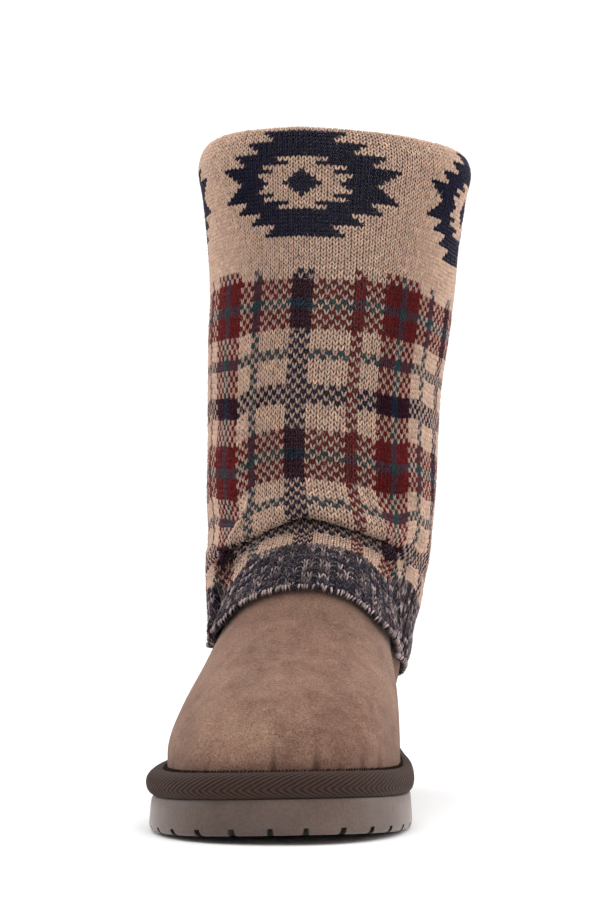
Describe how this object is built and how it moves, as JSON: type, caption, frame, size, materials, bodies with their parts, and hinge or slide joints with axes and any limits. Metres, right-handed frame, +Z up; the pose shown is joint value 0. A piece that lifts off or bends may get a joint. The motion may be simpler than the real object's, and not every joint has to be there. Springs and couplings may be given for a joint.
{
  "type": "mid-calf boot",
  "caption": "Pull-on mid-calf boot with a suede foot, padded tape rand, rubber sole and a slouchy patterned knit shaft.",
  "frame": {"origin": "middle of the bounding box, on the floor", "axes": "+Z up, toe towards -Y, little-toe side towards +X"},
  "size_m": [0.1288, 0.2798, 0.293],
  "materials": {
    "rubber": "matte moulded taupe rubber",
    "tape": "dark brown herringbone tape over a padded roll",
    "sock": "short fleece sock lining",
    "suede": "brushed faux suede with a mottled nap",
    "knit": "patterned sweater knit, fleece lined"
  },
  "bodies": {
    "root": {"outsole": "rubber", "rand_binding": "tape", "insole": "sock", "foot_upper": "suede", "knit_shaft": "knit"}
  },
  "joints": []
}
